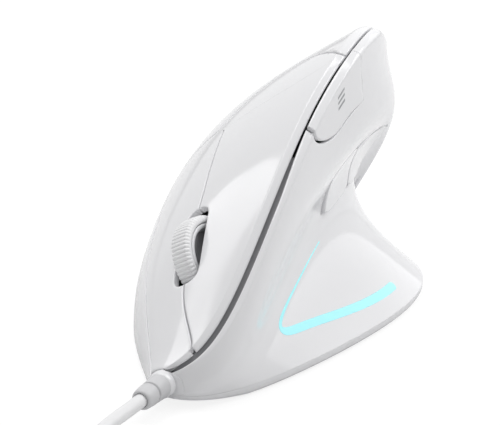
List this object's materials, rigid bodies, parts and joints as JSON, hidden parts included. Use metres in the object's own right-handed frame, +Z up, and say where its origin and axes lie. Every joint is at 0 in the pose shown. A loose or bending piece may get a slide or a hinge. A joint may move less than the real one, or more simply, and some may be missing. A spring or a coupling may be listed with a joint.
{
  "type": "vertical ergonomic mouse",
  "caption": "Upright right-handed computer mouse with a thumb rest, sloped finger keys, scroll wheel, side buttons, a lit hook and a coiled cord with a plug.",
  "frame": {"origin": "centre of the footprint, on the desk", "axes": "-Y is the nose where the cord leaves, +X the thumb side, +Z up"},
  "size_m": [0.0968, 0.2247, 0.0722],
  "materials": {
    "shell_white": "glossy ABS",
    "base_grey": "matt ABS",
    "foot_dark": "smooth PTFE",
    "steel": "plated steel",
    "groove_grey": "matt moulded",
    "light_cyan": "lit clear acrylic",
    "inner_dark": "matt moulded",
    "board_green": "coated laminate",
    "lamp_clear": "clear resin",
    "lens_clear": "clear acrylic",
    "hub_grey": "satin moulded",
    "tyre_white": "soft rubber",
    "boot_grey": "soft moulded",
    "cord_white": "satin jacket",
    "contact_gold": "gold plate"
  },
  "bodies": {
    "housing": {"base_plate": "base_grey", "glide_feet": "foot_dark", "case_screws": "steel", "thumb_shell": "shell_white", "finger_shell": "shell_white", "key_panel": "shell_white", "crest_strip": "groove_grey", "nose_collar": "shell_white", "light_guide": "light_cyan", "inner_frame": "inner_dark", "key_board": "board_green", "thumb_board": "board_green", "dpi_board": "board_green", "main_board": "board_green", "light_board": "board_green", "light_lamp": "lamp_clear", "sensor_chip": "inner_dark", "sensor_lens": "lens_clear", "cable_socket": "hub_grey", "board_screws": "steel", "wheel_cradle": "inner_dark", "wheel_encoder": "inner_dark", "left_switch": "inner_dark", "right_switch": "inner_dark", "middle_switch": "inner_dark", "dpi_switch": "inner_dark", "forward_switch": "inner_dark", "back_switch": "inner_dark", "inner_lead": "inner_dark", "strain_relief": "boot_grey", "cable_lead": "cord_white", "cable_coil": "cord_white", "cable_tie": "inner_dark", "cable_tail": "cord_white", "plug_grip": "cord_white", "plug_shell": "steel", "plug_tongue": "inner_dark", "plug_contacts": "contact_gold"},
    "left_key": {"left_key": "shell_white", "left_plunger": "hub_grey"},
    "right_key": {"right_key": "shell_white", "right_plunger": "hub_grey"},
    "wheel_carriage": {"wheel_axle": "steel", "middle_plunger": "hub_grey"},
    "wheel": {"wheel_hub": "hub_grey", "wheel_tyre": "tyre_white"},
    "dpi_button": {"dpi_button": "shell_white", "dpi_plunger": "hub_grey"},
    "forward_button": {"forward_button": "shell_white", "forward_plunger": "hub_grey"},
    "back_button": {"back_button": "shell_white", "back_plunger": "hub_grey"}
  },
  "joints": [
    {"name": "left_click", "type": "hinge", "parent": "housing", "child": "left_key", "pos_m": [-0.0028, 0.01309, 0.0557], "axis": [0.7821, 0, 0.6231], "range_deg": [0, 0.5], "stiffness_Nm_per_rad": 3},
    {"name": "right_click", "type": "hinge", "parent": "housing", "child": "right_key", "pos_m": [-0.02397, 0.01309, 0.0356], "axis": [0.5949, 0, 0.8038], "range_deg": [0, 0.5], "stiffness_Nm_per_rad": 3},
    {"name": "wheel_press", "type": "slide", "parent": "housing", "child": "wheel_carriage", "axis": [0.536, 0.5023, -0.6785], "range_m": [0, 0.0005], "stiffness_N_per_m": 1600},
    {"name": "wheel_spin", "type": "hinge", "parent": "wheel_carriage", "child": "wheel", "pos_m": [-0.00679, -0.02402, 0.02376], "axis": [0.8259, -0.1456, 0.5446], "continuous": true},
    {"name": "dpi_press", "type": "slide", "parent": "housing", "child": "dpi_button", "axis": [-1, 0, 0], "range_m": [0, 0.0003], "stiffness_N_per_m": 3000},
    {"name": "forward_press", "type": "slide", "parent": "housing", "child": "forward_button", "axis": [-1, 0, 0], "range_m": [0, 0.0005], "stiffness_N_per_m": 1800},
    {"name": "back_press", "type": "slide", "parent": "housing", "child": "back_button", "axis": [-1, 0, 0], "range_m": [0, 0.0005], "stiffness_N_per_m": 1800}
  ]
}
